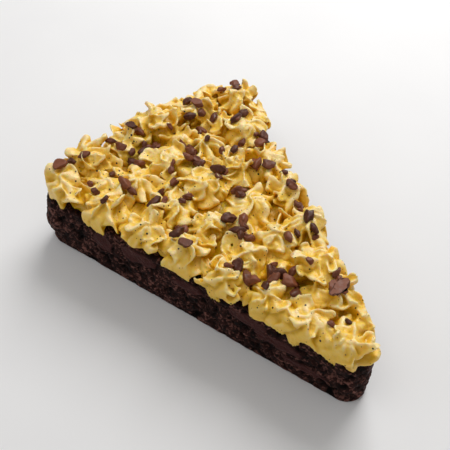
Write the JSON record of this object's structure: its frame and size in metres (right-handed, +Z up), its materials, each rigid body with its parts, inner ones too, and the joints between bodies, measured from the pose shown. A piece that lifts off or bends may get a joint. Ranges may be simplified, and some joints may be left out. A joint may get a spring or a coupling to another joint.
{
  "type": "brownie slice",
  "caption": "Wedge slice of dark chocolate brownie, covered with piped buttercream stars and scattered small chocolate pieces.",
  "frame": {"origin": "on the underside, halfway along the slice and on its centre line, where it rests", "axes": "+X along the slice, from its round back to its point; +Z up, from the underside through the buttercream"},
  "size_m": [0.144, 0.1054, 0.039],
  "materials": {
    "brownie": "matt, dark and crumbly",
    "buttercream": "soft satin"
  },
  "bodies": {
    "root": {"brownie": "brownie", "buttercream": "buttercream"}
  },
  "joints": []
}
